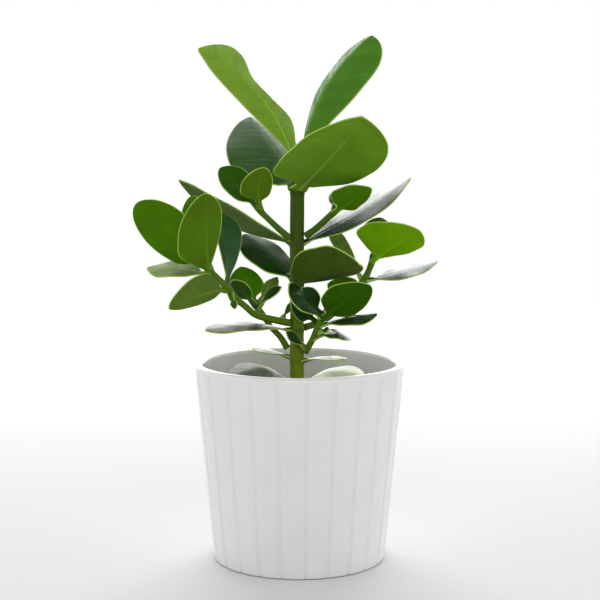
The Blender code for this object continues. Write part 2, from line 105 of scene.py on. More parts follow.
# Leaf: shoot, node on its axis, end of the blade, way the upper side faces, half widths (left and
# right, seen on the upper side with the end up), arch, sway, fold and twist in degrees, outlines.
LEAVES = {
    "leaf_top_left": ("main_stem", (-1, 0, 269.5), (-68, 15, 347), (2, -3, 2), (15.5, 25), 3, 11, -12, 0,
                      ("lance", "crest")),
    "leaf_top_right": ("main_stem", (-1, 0, 269.5), (49, 10, 355), (-3, -3, 2), (14, 24.5), 2, -11, -20, 0,
                       ("obovate", "obovate")),
    "leaf_crown_front": ("main_stem", (-1, 0, 251.5), (38, -90, 299), (0, 1, 2), (30, 38), 4, -5, -18, 0,
                         ("round", "lobe")),
    "leaf_crown_back": ("main_stem", (-1, 0, 251.5), (-36, 85, 302), (1, -3, 5), (34, 30), 3, 0, -16, 0,
                        ("egg", "egg")),
    "leaf_upper_left": ("main_stem", (-1.5, 0, 213.5), (-84, 35, 258), (4, 4, 8), (20, 21), 2, 0, -20, 0,
                        ("lance", "lance")),
    "leaf_upper_right": ("main_stem", (-1.5, 0, 213.5), (76, 15, 259.5), (-2, -2.4, 4), (16, 17), -2, 0, -4, 14,
                         ("lance", "lance")),
    "leaf_middle_front": ("main_stem", (-6, -2, 187), (38, -64, 207), (0, 2, 1), (11, 20.5), 1, 0, 20, 0,
                          ("obovate", "wing")),
    "leaf_middle_back": ("main_stem", (-1.5, 0, 188.5), (-39, 45, 219), (1, -3, 4), (15, 14), 2, 0, -8, 0,
                         ("round", "round")),
    "leaf_lower_left": ("main_stem", (-1.5, 0, 156.8), (-62, -28, 160), (0, -2, 11), (11.5, 11.5), 3.4, 0, -4, 0,
                        ("obovate", "obovate")),
    "leaf_lower_front": ("branch_low_right", (5, -5, 144.5), (-9, -16, 157.5), (1, -2, 1), (4, 4), 1, 0, -8, 0,
                         ("lance", "lance")),
    "leaf_base_left": ("main_stem", (-1.5, 0, 137), (-32, 5, 143.5), (0, 0, 1), (9, 9), 1, 0, -6, 0,
                       ("obovate", "obovate")),
    "leaf_base_right": ("main_stem", (-1.5, 0, 135.5), (31, -20, 139.5), (0, 0, 1), (9, 9), 2, 0, -6, 0,
                        ("obovate", "obovate")),
    "leaf_rim_left": ("main_stem", (-1.5, 0, 119.5), (-46, -22, 127), (0, -1, 3), (16, 16), 8.5, 0, -10, 0,
                      ("obovate", "obovate")),
    "leaf_rim_right": ("main_stem", (-1.5, 0, 119.5), (44, -16, 126), (0, -1, 4), (16, 16), 7, 0, -10, 0,
                       ("obovate", "obovate")),
    "leaf_a_front": ("branch_long_left", (-47, -25, 187.5), (-83, -60, 178.5), (7, -7, 0.5), (6, 13), 6, 3, -8, 0,
                     ("round", "egg")),
    "leaf_a_inner": ("branch_long_left", (-47, -25, 187.5), (-54, -2, 236), (2, -3, 1), (7, 13), 2, 0, 20, 0,
                     ("obovate", "obovate")),
    "leaf_a_small": ("branch_long_left", (-46, -24.5, 186), (-42, -29, 174.5), (-1, -3, 0), (2.7, 2.7), 0, 0, -6, 0,
                     ("egg", "egg")),
    "leaf_a_outer": ("branch_long_left", (-60, -30, 201.5), (-108, -20, 243), (1, 4, 1), (15.5, 18), 2, -2.5, -8, 0,
                     ("round", "round")),
    "leaf_a_upright": ("branch_long_left", (-59.5, -33.8, 198.5), (-60, -46, 251), (-1, 4, 1), (10.5, 20), 2, 0, -12, 0,
                       ("obovate", "egg")),
    "leaf_a_back": ("branch_long_left", (-59, -25.5, 202.5), (-71, -13, 248.5), (0, -4, 1), (12, 9), 2, 0, -8, 0,
                    ("round", "round")),
    "leaf_a_flat": ("branch_long_left", (-57.5, -29.5, 197), (-101, -15, 200.5), (0, -1, 4), (17, 16), 2, 0, -3, 0,
                    ("lance", "lance")),
    "leaf_b_left": ("branch_low_left", (-29, 7, 171.5), (-45, -8, 191.5), (0, 2, 1), (6, 6), 1, 0, -8, 0,
                    ("round", "round")),
    "leaf_b_back": ("branch_low_left", (-29, 7, 171.5), (-41, 26, 197.5), (0, -3, 2), (12, 11), 1, 0, -8, 0,
                    ("round", "egg")),
    "leaf_b_right": ("branch_low_left", (-28.5, 6, 171), (-12, 3, 186), (-2, -3, 2), (4.5, 3.5), 1, -1, -8, 0,
                     ("lance", "lance")),
    "leaf_b_far": ("branch_low_left", (-29, 7, 173), (-15, 15, 191.5), (-2, -3, 2), (6, 6), 1, 0, -8, 0,
                   ("lance", "lance")),
    "leaf_a_stub": ("branch_long_left", (-13, -5.3, 162.9), (-4, 13, 175), (1, -1, 1), (2.4, 2.4), 0, 0, -6, 0,
                    ("lance", "lance")),
    "leaf_c_front": ("branch_low_right", (15, -16, 166.5), (-7, -38, 188.5), (2, -1, 1), (9, 11), 1, 0, -8, 0,
                     ("obovate", "obovate")),
    "leaf_c_middle": ("branch_low_right", (15.7, -15.3, 168.8), (-1, -15.8, 185.5), (0, -1, 0), (9, 9), 1, 0, -8, 0,
                      ("round", "round")),
    "leaf_c_left": ("branch_low_right", (13.3, -14.3, 162.5), (-5, -12, 178.5), (0, -1, 0), (7, 6.5), 1, 0, -6, 0,
                    ("egg", "round")),
    "leaf_c_right": ("branch_low_right", (15, -16, 166.5), (46, -40, 191.5), (0, 1, 1), (14, 18), 2, 0, -8, 0,
                     ("egg", "round")),
    "leaf_c_low": ("branch_low_right", (13, -14, 161.5), (53, 0, 167.8), (0, -1, 3), (10.5, 10), 1, 0, -10, 0,
                   ("lance", "lance")),
    "leaf_c_small": ("branch_low_right", (11, -12, 156.5), (20, -19, 159.5), (0, -1, 1), (3, 3), 0.5, 0, -6, 0,
                     ("lance", "lance")),
    "leaf_c_base": ("branch_low_right", (10, -10, 153.5), (35, -6, 151.5), (0, -1, 3), (8, 8), 3.5, 0, -5, 0,
                    ("round", "round")),
    "leaf_d_front": ("branch_high_right", (23.4, -13, 237.5), (47, -28, 254), (0, 1, 1), (8, 16), 1, 0, -8, 0,
                     ("egg", "egg")),
    "leaf_d_back": ("branch_high_right", (23, -12, 237.5), (24, 8, 250), (0, -2, 1), (4, 4), 1, 0, -8, 0,
                    ("round", "round")),
    "leaf_e_front": ("branch_high_left", (-26.5, -18, 239.5), (-23, -36, 267.5), (0, 3, 2), (9, 12), 1, 2, -10, 0,
                     ("round", "egg")),
    "leaf_e_back": ("branch_high_left", (-26.5, -18, 239.5), (-53, -6, 266.5), (0, -2, 1), (8, 12), 1, 0, -8, 0,
                    ("round", "round")),
    "leaf_f_far": ("branch_long_right", (44, 16, 188.5), (96, 25, 201.5), (-1, -1.6, 4), (13, 12.5), -1, 0, -3, 10,
                   ("lance", "lance")),
    "leaf_f_inner": ("branch_long_right", (44, 16, 188.5), (22, 43, 223), (0, -4, 3), (5, 6), 1, 0, -8, 0,
                     ("obovate", "obovate")),
    "leaf_f_low": ("branch_long_right", (32, 16, 174.5), (29, 0, 193.5), (0, 1, 1), (11, 11), 1, 0, -8, 0,
                   ("round", "round")),
    "leaf_f_front": ("branch_long_right", (50, 14, 202.5), (80, -12, 225.5), (0, 3, 2), (13, 29), 2, 0, -8, 0,
                     ("obovate", "egg")),
    "leaf_f_back": ("branch_long_right", (50, 14, 202.5), (57, 32, 231.5), (0, -2, 1), (11.5, 11), 1, 0, -8, 0,
                    ("round", "round")),
}


def unit(v):
    v = np.asarray(v, float)
    return v / np.linalg.norm(v)


def clearance(shoot, points):
    """Least distance from the points to the skin of a shoot, taken as a chain of tapered pieces."""
    axis, radii = SHOOTS[shoot]
    axis = np.array(axis, float)
    radii = np.array(radii)
    seg = np.diff(axis, axis=0)
    from_start = points[:, None, :] - axis[None, :-1, :]
    share = np.clip((from_start * seg).sum(2) / (seg * seg).sum(1), 0, 1)
    away = np.linalg.norm(from_start - seg * share[..., None], axis=2)
    return float((away - radii[:-1] - np.diff(radii) * share).min())


def leaf_frame(row, gap=GAP):
    """Start, end, side and face direction of a leaf whose stalk ends just short of its shoot."""
    shoot, node, end, face = row[:4]
    node = np.array(node, float)
    end = np.array(end, float)
    along = unit(end - node)
    up = np.array(face, float)
    up = unit(up - along * (up @ along))
    side = np.cross(along, up)
    turn = np.radians(np.arange(0, 360, 30))[:, None]
    ring = PETIOLE * (np.cos(turn) * side + np.sin(turn) * up)
    reach = 0.0
    while reach < 12 and clearance(shoot, node + along * reach + ring) < gap:
        reach += 0.1
    return node + along * reach, end, side, up


LEAF_ROWS = 64
LEAF_COLS = 21
RIM_COLS = 4


def smooth_step(x, low, high):
    s = np.clip((x - low) / (high - low), 0, 1)
    return s * s * (3 - 2 * s)


def half_width(u, width, outline):
    """Half width of the blade at u: a Catmull-Rom curve through the outline, times a rounded end."""
    knots, cap = OUTLINES[outline]
    knots = np.array(knots)
    x = np.clip(u, 0, 1) * (len(knots) - 1)
    i = np.minimum(x.astype(int), len(knots) - 2)
    f = x - i
    before = knots[np.maximum(i - 1, 0)]
    a, b = knots[i], knots[i + 1]
    after = knots[np.minimum(i + 2, len(knots) - 1)]
    smooth = 0.5 * (2 * a + (b - before) * f + (2 * before - 5 * a + 4 * b - after) * f * f
                    + (3 * a - before - 3 * b + after) * f ** 3)
    ending = np.clip((u - cap) / (1 - cap), 0, 1)
    return width * smooth * np.sqrt(np.clip(1 - ending ** 2.4, 0, 1))


def section_columns():
    """Places across a leaf, -1 to 1, and how far each is round the rim's half circle (0 flat, 1 at its edge)."""
    flat = np.linspace(-1, 1, LEAF_COLS)
    rim = np.linspace(0, 1, RIM_COLS + 1)[1:]
    place = np.concatenate([-np.ones(RIM_COLS), flat, np.ones(RIM_COLS)])
    wrap = np.concatenate([rim[::-1], np.zeros(LEAF_COLS), rim])
    return place, wrap


def leaf_surface(row, seed):
    """Upper and lower faces of a leaf: at (t, v) the midrib's point plus v times the half width.

    t runs from the sunk end of the stalk to the leaf's end, denser there. Towards the rim both
    faces follow a half circle as thick as the blade. The stalk is round and blends into the blade.
    The midrib is sunk on the upper face and raised on the lower one, and the margin waves a little.
    """
    start, end, side, up = leaf_frame(row)
    wide, arch, sway, fold, twist, outline = row[4:]
    length = np.linalg.norm(end - start)
    s = np.linspace(0, 1, LEAF_ROWS)
    t = np.concatenate([[-3.4 / length, -1.2 / length], 1 - (1 - s) ** 1.5])[:, None]
    place, wrap = section_columns()
    stalk = min(0.2, 3.0 / length)
    u = np.clip((t - stalk) / (1 - stalk), 0, 1)
    blade = smooth_step(t, stalk * 0.5, stalk * 1.8)
    left = half_width(u, wide[0], outline[0])
    right = half_width(u, wide[1], outline[1])
    half = np.maximum(np.where(place < 0, left, right), 0.5)
    body = EDGE + 0.16 * (1 - place ** 2) * (wrap == 0)
    turn = wrap * math.pi / 2
    x_flat = place * (half - EDGE) + np.sign(place) * EDGE * np.sin(turn)
    v = x_flat / half
    slope = math.radians(fold)
    soft = np.sqrt(v * v + 0.01) - 0.1
    wave = 0.35 * v ** 2 * np.sin(6.3 * (2.3 * t + 0.37 * seed) + np.sign(v) * 1.3)
    lift = half * soft * math.sin(slope) + wave * np.minimum(half / 12, 1)
    across = x_flat * math.cos(slope)
    rib = np.exp(-(x_flat / (1.5 - 0.8 * u)) ** 2)
    groove = np.exp(-(x_flat / 0.8) ** 2)
    bow = 4 * t * (1 - t)
    roll = np.radians(twist) * u
    stalk_turn = np.radians(90) * (np.sign(place) * (np.abs(place) * 0.8 + wrap * 0.2))
    flare = 1 + 0.25 * smooth_step(-t * length, -1.5, 3)
    clasp = min(max(sum(wide) / 22, 1), 3) if row[0] == "main_stem" else 1.1
    round_x = PETIOLE * clasp * flare * np.sin(stalk_turn)
    round_z = PETIOLE * flare * np.cos(stalk_turn)
    x = round_x + (across - round_x) * blade
    faces = []
    for sign in (1, -1):
        thick = body * np.cos(turn) * sign
        relief = -0.22 * groove * (1 - u) if sign > 0 else -0.85 * rib * (1 - 0.9 * u)
        z_flat = lift + thick + relief * np.cos(turn)
        z = sign * round_z + (z_flat - sign * round_z) * blade
        turned_x = x * np.cos(roll) - z * np.sin(roll) + sway * bow
        turned_z = x * np.sin(roll) + z * np.cos(roll) + arch * bow
        along = length * t + 0 * x
        points = start + turned_x[..., None] * side + turned_z[..., None] * up
        faces.append(points + along[..., None] * unit(end - start))
    distance = np.maximum(half - np.abs(x_flat), 0) + 0 * x
    return faces, x_flat + 0 * x, length * t + 0 * x, distance, u + 0 * x


def closed_sheet(upper, lower):
    """Points and quads of two sheets that share their side edges, with a fan closing each end."""
    rows, cols = upper.shape[:2]
    ring = np.concatenate([upper, lower[:, -2:0:-1]], axis=1)
    count = ring.shape[1]
    points = np.concatenate([ring.reshape(-1, 3), ring[0].mean(0)[None], ring[-1].mean(0)[None]])
    i, j = np.meshgrid(np.arange(rows - 1), np.arange(count), indexing="ij")
    k = (j + 1) % count
    quads = np.stack([i * count + j, i * count + k, (i + 1) * count + k, (i + 1) * count + j], -1).reshape(-1, 4)
    j = np.arange(count)
    k = (j + 1) % count
    first = np.stack([k, j, np.full(count, rows * count)], -1)
    base = (rows - 1) * count
    last = np.stack([base + j, base + k, np.full(count, rows * count + 1)], -1)
    return points, quads.tolist() + first.tolist() + last.tolist()


def sheet_values(upper, lower):
    """The same order as closed_sheet for a value on each face, with the two end points last."""
    ring = np.concatenate([upper, lower[:, -2:0:-1]], axis=1)
    return np.concatenate([ring.ravel(), [ring[0].mean(), ring[-1].mean()]])


def add_mesh(name, points, faces, mat, smooth=True):
    mesh = bpy.data.meshes.new(name)
    mesh.from_pydata([tuple(p) for p in np.asarray(points) * MM], [], faces)
    mesh.update()
    mesh.materials.append(mat)
    if smooth:
        mesh.shade_smooth()
    obj = bpy.data.objects.new(name, mesh)
    bpy.context.scene.collection.objects.link(obj)
    return obj


def add_values(mesh, name, values):
    layer = mesh.attributes.new(name, "FLOAT", "POINT")
    layer.data.foreach_set("value", np.asarray(values, np.float32))


def add_vectors(mesh, name, values):
    layer = mesh.attributes.new(name, "FLOAT_VECTOR", "POINT")
    layer.data.foreach_set("vector", np.asarray(values, np.float32).ravel())


# Shader building

def srgb(red, green, blue):
    """Linear colour from red, green and blue of 0 to 255."""
    c = np.array([red, green, blue]) / 255
    linear = np.where(c <= 0.04045, c / 12.92, ((c + 0.055) / 1.055) ** 2.4)
    return (*[float(x) for x in linear], 1.0)


def put(tree, kind, inputs=None, **settings):
    """New node with its settings; inputs are values or sockets, by name or index."""
    item = tree.nodes.new(kind)
    for key, value in settings.items():
        setattr(item, key, value)
    for key, value in (inputs or {}).items():
        if isinstance(value, bpy.types.NodeSocket):
            tree.links.new(value, item.inputs[key])
        else:
            item.inputs[key].default_value = value
    return item


def calc(tree, operation, a, b=0.0, c=0.0, clamp=False):
    return put(tree, "ShaderNodeMath", {0: a, 1: b, 2: c}, operation=operation, use_clamp=clamp).outputs[0]


def span(tree, value, low, high, to_low=0.0, to_high=1.0):
    """Smooth step from low to high."""
    inputs = {"Value": value, "From Min": low, "From Max": high, "To Min": to_low, "To Max": to_high}
    return put(tree, "ShaderNodeMapRange", inputs, interpolation_type="SMOOTHSTEP").outputs["Result"]


def blend_colours(tree, share, a, b, kind="MIX"):
    item = put(tree, "ShaderNodeMix", data_type="RGBA", blend_type=kind)
    for key, value in ((0, share), (6, a), (7, b)):
        if isinstance(value, bpy.types.NodeSocket):
            tree.links.new(value, item.inputs[key])
        else:
            item.inputs[key].default_value = value
    return item.outputs[2]


def new_group(name, inputs, outputs):
    """Node group with typed sockets: (name, kind, default) and (name, kind)."""
    tree = bpy.data.node_groups.new(name, "ShaderNodeTree")
    for label, kind, default in inputs:
        socket = tree.interface.new_socket(label, in_out="INPUT", socket_type="NodeSocket" + kind)
        if default is not None:
            socket.default_value = default
    for label, kind in outputs:
        tree.interface.new_socket(label, in_out="OUTPUT", socket_type="NodeSocket" + kind)
    return tree, tree.nodes.new("NodeGroupInput").outputs, tree.nodes.new("NodeGroupOutput").inputs


def vein_group():
    """Fine lateral veins that leave the midrib at a slant and run on towards the margin.

    Input Blade is (across, along, side) in decimetres. Lines of equal (along - slope * |across|)
    are veins; noise stretched along them gives their streaks.
    """
    tree, given, result = new_group(
        "lateral_veins",
        [("Blade", "Vector", None), ("Spacing", "Float", 1.5), ("Slope", "Float", 0.8), ("Seed", "Float", 0.0)],
        [("Height", "Float"), ("Streaks", "Float")])
    parts = put(tree, "ShaderNodeSeparateXYZ", {0: given["Blade"]}).outputs
    across = calc(tree, "MULTIPLY", calc(tree, "ABSOLUTE", parts["X"]), 100.0)
    along = calc(tree, "MULTIPLY", parts["Y"], 100.0)
    sway = put(tree, "ShaderNodeTexNoise", {"Vector": given["Blade"], "Scale": 14.0, "Detail": 2.0},
               noise_dimensions="3D").outputs["Fac"]
    bend = calc(tree, "MULTIPLY", calc(tree, "MULTIPLY", across, across), 0.006)
    path = calc(tree, "SUBTRACT", along, calc(tree, "MULTIPLY", across, given["Slope"]))
    path = calc(tree, "ADD", path, bend)
    path = calc(tree, "ADD", path, calc(tree, "MULTIPLY", sway, 2.4))
    line = calc(tree, "DIVIDE", path, given["Spacing"])
    place = put(tree, "ShaderNodeCombineXYZ", {0: line, 1: calc(tree, "MULTIPLY", across, 0.05), 2: given["Seed"]})
    coarse = put(tree, "ShaderNodeTexNoise", {"Vector": place.outputs[0], "Scale": 0.42, "Detail": 2.0,
                                              "Roughness": 0.55}).outputs["Fac"]
    fine = put(tree, "ShaderNodeTexWave", {"Vector": place.outputs[0], "Scale": 0.32, "Distortion": 0.8,
                                           "Detail": 1.0, "Detail Scale": 1.5}, bands_direction="X").outputs["Fac"]
    height = calc(tree, "ADD", calc(tree, "MULTIPLY", coarse, 0.75), calc(tree, "MULTIPLY", fine, 0.25))
    tree.links.new(height, result["Height"])
    tree.links.new(span(tree, coarse, 0.38, 0.66), result["Streaks"])
    return tree


def leaf_colour_group():
    """Leaf colour: upper or under colour, mottled, streaked along the veins, with rib lines and a pale line of painted
    rim light along the margin.
    """
    tree, given, result = new_group(
        "leaf_colour",
        [("Blade", "Vector", None), ("Margin Distance", "Float", 5.0), ("Reach", "Float", 0.5),
         ("Streaks", "Float", 0.5), ("Upper", "Color", None), ("Under", "Color", None),
         ("Rib Upper", "Color", None), ("Rib Under", "Color", None), ("Margin", "Color", None),
         ("Margin Width", "Float", 0.62)],
        [("Color", "Color"), ("Side", "Float"), ("Rib", "Float")])
    parts = put(tree, "ShaderNodeSeparateXYZ", {0: given["Blade"]}).outputs
    across = calc(tree, "MULTIPLY", calc(tree, "ABSOLUTE", parts["X"]), 100.0)
    side = span(tree, parts["Z"], 0.4, 0.6)
    colour = blend_colours(tree, side, given["Upper"], given["Under"])
    mottle = put(tree, "ShaderNodeTexNoise", {"Vector": given["Blade"], "Scale": 5.0, "Detail": 3.0}).outputs["Fac"]
    shade = calc(tree, "MULTIPLY_ADD", mottle, 0.5, 0.75)
    streak = calc(tree, "MULTIPLY", given["Streaks"], calc(tree, "MULTIPLY_ADD", side, -0.7, 1.0))
    shade = calc(tree, "MULTIPLY", shade, calc(tree, "MULTIPLY_ADD", streak, -0.12, 1.06))
    colour = put(tree, "ShaderNodeVectorMath", {0: colour, "Scale": shade}, operation="SCALE").outputs[0]
    width = calc(tree, "MULTIPLY_ADD", given["Reach"], -1.0, 1.35)
    rib = calc(tree, "SUBTRACT", 1.0, span(tree, calc(tree, "DIVIDE", across, width), 0.45, 1.1))
    ribs = blend_colours(tree, side, given["Rib Upper"], given["Rib Under"])
    fade = span(tree, given["Reach"], 0.1, 0.9, 0.65, 0.12)
    colour = blend_colours(tree, calc(tree, "MULTIPLY", rib, fade), colour, ribs)
    # Pale line along the margin: painted rim light where the edge catches the light, mixed over the leaf colour.
    edge = calc(tree, "DIVIDE", given["Margin Distance"], given["Margin Width"])
    edge = calc(tree, "SUBTRACT", 1.0, span(tree, edge, 0.35, 1.15))
    colour = blend_colours(tree, edge, colour, given["Margin"])
    tree.links.new(colour, result["Color"])
    tree.links.new(side, result["Side"])
    tree.links.new(rib, result["Rib"])
    return tree


VEINS = vein_group()
LEAF_COLOUR = leaf_colour_group()


def new_material(name):
    mat = bpy.data.materials.new(name)
    mat.use_nodes = True
    tree = mat.node_tree
    return mat, tree, tree.nodes["Principled BSDF"]


def leaf_material(name, tone, seed):
    """Leathery leaf: glossy upper side, duller under side, light let through from behind."""
    mat, tree, shader = new_material(name)
    blade = put(tree, "ShaderNodeAttribute", attribute_name="blade").outputs["Vector"]
    margin = put(tree, "ShaderNodeAttribute", attribute_name="margin").outputs["Fac"]
    reach = put(tree, "ShaderNodeAttribute", attribute_name="reach").outputs["Fac"]
    veins = put(tree, "ShaderNodeGroup", node_tree=VEINS)
    tree.links.new(blade, veins.inputs["Blade"])
    veins.inputs["Seed"].default_value = float(seed)
    veins.inputs["Spacing"].default_value = tone["spacing"]
    paint = put(tree, "ShaderNodeGroup", node_tree=LEAF_COLOUR)
    tree.links.new(blade, paint.inputs["Blade"])
    tree.links.new(margin, paint.inputs["Margin Distance"])
    tree.links.new(reach, paint.inputs["Reach"])
    tree.links.new(veins.outputs["Streaks"], paint.inputs["Streaks"])
    for label in ("Upper", "Under", "Rib Upper", "Rib Under", "Margin"):
        paint.inputs[label].default_value = srgb(*tone[label])
    tree.links.new(paint.outputs["Color"], shader.inputs["Base Color"])
    rough = calc(tree, "MULTIPLY_ADD", paint.outputs["Side"], tone["dull"] - tone["gloss"], tone["gloss"])
    rough = calc(tree, "ADD", rough, calc(tree, "MULTIPLY", veins.outputs["Streaks"], 0.10))
    tree.links.new(rough, shader.inputs["Roughness"])
    strength = calc(tree, "MULTIPLY_ADD", paint.outputs["Side"], -0.8 * tone["relief"], tone["relief"])
    bump = put(tree, "ShaderNodeBump", {"Height": veins.outputs["Height"], "Strength": strength, "Distance": 0.0006})
    tree.links.new(bump.outputs["Normal"], shader.inputs["Normal"])
    shader.inputs["IOR"].default_value = tone["shine"]
    shader.inputs["Subsurface Weight"].default_value = tone["through"]
    shader.inputs["Subsurface Radius"].default_value = (0.5, 1.0, 0.15)
    shader.inputs["Subsurface Scale"].default_value = 0.0015
    return mat


# Finishes

def tone(upper, under, gloss=0.24, dull=0.5, relief=0.35, spacing=1.6, through=0.35, shine=1.15, rib=None):
    """Leaf look: colours of both sides, of the midrib on them and of the painted rim light along the margin, then the
    surface.
    """
    return {
        "Upper": upper, "Under": under, "Rib Upper": tuple(min(255, c * 1.15 + 14) for c in upper),
        # The margin colour is painted rim light: the same pale line on every leaf.
        "Rib Under": rib or tuple(min(255, c * 1.12 + 8) for c in under), "Margin": (168, 192, 92),
        "gloss": gloss, "dull": dull, "relief": relief, "spacing": spacing, "through": through, "shine": shine,
    }


# Tones are set leaf by leaf. Most are leaf colours; backlit and bright paint the glow of light let through from behind
# into the colour, and pale paints the sheen of the bright window into it.
TONES = {
    "young": tone((124, 162, 50), (140, 170, 85), gloss=0.42, relief=0.15, shine=1.15),
    "fresh": tone((80, 132, 34), (90, 136, 36), gloss=0.36, relief=0.25, shine=1.2),
    "crown": tone((58, 100, 30), (98, 138, 28), shine=1.1, rib=(150, 172, 80), through=0.5),
    "leafy": tone((60, 104, 26), (78, 112, 16), shine=1.1),
    "forest": tone((52, 90, 34), (66, 98, 40), gloss=0.3, relief=0.4, shine=1.15),
    "dark": tone((26, 60, 12), (56, 88, 30), gloss=0.25, relief=0.3, shine=1.15),
    "blue": tone((48, 86, 44), (52, 86, 42), gloss=0.26, relief=0.12, shine=1.25),
    # Painted backlight: the glow of light let through from behind, put into the colour.
    "backlit": tone((46, 88, 14), (70, 116, 6), gloss=0.25, shine=1.1),
    "deep": tone((32, 70, 12), (48, 90, 4), gloss=0.25, shine=1.1),
    # Painted backlight, stronger: the glow of light let through from behind, put into the colour.
    "bright": tone((74, 128, 10), (112, 164, 6), gloss=0.28, through=0.5, shine=1.1),
    "olive": tone((46, 66, 26), (62, 82, 20), gloss=0.28, shine=1.1),
    "moss": tone((86, 114, 32), (74, 98, 34), gloss=0.3, relief=0.5, shine=1.2),
    "bronze": tone((62, 70, 36), (70, 80, 40), gloss=0.3, relief=0.2, shine=1.3),
    # Painted sheen: the pale reflection of the bright window, put into the colour.
    "pale": tone((176, 186, 150), (150, 164, 110), gloss=0.35, shine=1.4),
    "pale_green": tone((116, 142, 62), (112, 138, 64), gloss=0.5, relief=0.2, shine=1.15),
    "stone": tone((78, 88, 60), (96, 106, 70), gloss=0.4, relief=0.5, shine=1.35),
    "window": tone((24, 56, 10), (60, 88, 26), gloss=0.14, relief=0.22, shine=1.5),
}

LEAF_TONES = {
    "leaf_top_left": "young", "leaf_top_right": "fresh", "leaf_crown_front": "crown", "leaf_crown_back": "forest",
    "leaf_upper_left": "moss", "leaf_upper_right": "window", "leaf_middle_front": "olive",
    "leaf_middle_back": "dark", "leaf_lower_left": "bronze", "leaf_lower_front": "dark",
    "leaf_base_left": "bronze", "leaf_base_right": "bronze", "leaf_rim_left": "stone", "leaf_rim_right": "pale",
    "leaf_a_front": "moss", "leaf_a_inner": "blue", "leaf_a_small": "backlit", "leaf_a_outer": "backlit",
    "leaf_a_upright": "leafy", "leaf_a_back": "bright", "leaf_a_flat": "pale_green", "leaf_b_left": "dark",
    "leaf_b_back": "bright", "leaf_b_right": "dark", "leaf_b_far": "moss", "leaf_a_stub": "backlit",
    "leaf_c_front": "dark", "leaf_c_middle": "dark", "leaf_c_left": "dark", "leaf_c_right": "deep",
    "leaf_c_low": "window", "leaf_c_small": "backlit", "leaf_c_base": "window", "leaf_d_front": "backlit",
    "leaf_d_back": "fresh", "leaf_e_front": "leafy", "leaf_e_back": "backlit", "leaf_f_far": "window",
    "leaf_f_inner": "pale_green", "leaf_f_low": "backlit", "leaf_f_front": "bright", "leaf_f_back": "moss",
}


def make_leaf(name, row, seed):
    faces, across, along, distance, reach = leaf_surface(row, seed)
    points, polygons = closed_sheet(*faces)
    mat = leaf_material(name + "_skin", TONES[LEAF_TONES[name]], seed)
    obj = add_mesh(name + "_blade", points, polygons, mat)
    columns = [sheet_values(value, value) / 100 for value in (across, along)]
    side = sheet_values(0 * across, 0 * across + 1)
    add_vectors(obj.data, "blade", np.stack([*columns, side], -1))
    add_values(obj.data, "margin", sheet_values(distance, distance))
    add_values(obj.data, "reach", sheet_values(reach, reach))
    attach(obj, "root")
    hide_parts(name)
    return obj


# Stem and side shoots

def smooth_path(points, steps):
    """Points on a Catmull-Rom curve through the given ones, steps to each stretch."""
    points = np.array(points, float)
    padded = np.concatenate([[2 * points[0] - points[1]], points, [2 * points[-1] - points[-2]]])
    f = np.arange(steps)[:, None] / steps
    a, b, c, d = (padded[k:len(padded) - 3 + k, None] for k in range(4))
    curve = 0.5 * (2 * b + (c - a) * f + (2 * a - 5 * b + 4 * c - d) * f ** 2 + (3 * b - a - 3 * c + d) * f ** 3)
    return np.concatenate([curve.reshape(-1, points.shape[1]), points[-1:]])


def tube(points, radii, steps, sides, rings=()):
    """Skin of a round shoot: ring of points at each place of the path, swollen at the leaf nodes.

    Each ring stands square to the path, turned as little as possible from a fixed side direction.
    The radius carries shallow lengthwise ridges.
    """
    path = smooth_path(np.column_stack([points, radii]), steps)
    centre, radius = path[:, :3], path[:, 3]
    ahead = np.gradient(centre, axis=0)
    ahead /= np.linalg.norm(ahead, axis=1)[:, None]
    east = np.cross(ahead, (0.0, 1.0, 0.2))
    east /= np.linalg.norm(east, axis=1)[:, None]
    north = np.cross(ahead, east)
    turn = np.arange(sides) * 2 * math.pi / sides
    run = np.concatenate([[0], np.cumsum(np.linalg.norm(np.diff(centre, axis=0), axis=1))])
    swell = np.zeros(len(run))
    for at, size in rings:
        near = np.linalg.norm(centre - np.array(at, float), axis=1)
        swell = swell + size * np.exp(-(near / 1.5) ** 2)
    ridge = 1 + 0.018 * np.cos(5 * turn) + 0.010 * np.cos(11 * turn + 1)
    skin = (radius + swell)[:, None] * ridge[None]
    around = np.cos(turn)[None, :, None] * east[:, None] + np.sin(turn)[None, :, None] * north[:, None]
    return centre[:, None] + skin[..., None] * around, run, swell


def closed_tube(skin):
    """Points and faces of a tube with a fan on each end."""
    rows, count = skin.shape[:2]
    points = np.concatenate([skin.reshape(-1, 3), skin[0].mean(0)[None], skin[-1].mean(0)[None]])
    i, j = np.meshgrid(np.arange(rows - 1), np.arange(count), indexing="ij")
    k = (j + 1) % count
    quads = np.stack([i * count + j, i * count + k, (i + 1) * count + k, (i + 1) * count + j], -1).reshape(-1, 4)
    j = np.arange(count)
    k = (j + 1) % count
    first = np.stack([k, j, np.full(count, rows * count)], -1)
    base = (rows - 1) * count
    last = np.stack([base + j, base + k, np.full(count, rows * count + 1)], -1)
    return points, quads.tolist() + first.tolist() + last.tolist()


